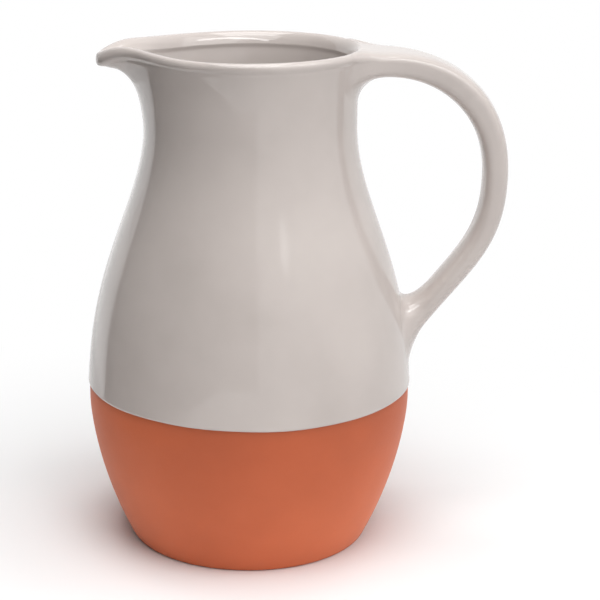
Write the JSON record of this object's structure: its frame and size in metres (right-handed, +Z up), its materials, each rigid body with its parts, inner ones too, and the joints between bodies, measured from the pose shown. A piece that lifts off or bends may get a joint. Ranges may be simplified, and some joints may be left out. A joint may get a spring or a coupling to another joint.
{
  "type": "glazed terracotta jug",
  "caption": "Pear-shaped terracotta pitcher with a pulled spout and a bowed strap handle, glossy warm grey glaze inside and over its upper part, bare clay below a level line.",
  "frame": {"origin": "middle of the flat foot, on the body's axis", "axes": "+Z up along the body's axis, spout towards -X, handle towards +X"},
  "size_m": [0.1882, 0.1468, 0.2262],
  "materials": {
    "terracotta": "matte, unglazed",
    "slip": "matte, unglazed",
    "glaze": "gloss"
  },
  "bodies": {
    "root": {"clay_body": "terracotta", "clay_handle": "terracotta", "upper_slip_joint": "slip", "lower_slip_joint": "slip", "body_glaze": "glaze", "lip_glaze": "glaze", "lining_glaze": "glaze", "handle_glaze": "glaze"}
  },
  "joints": []
}
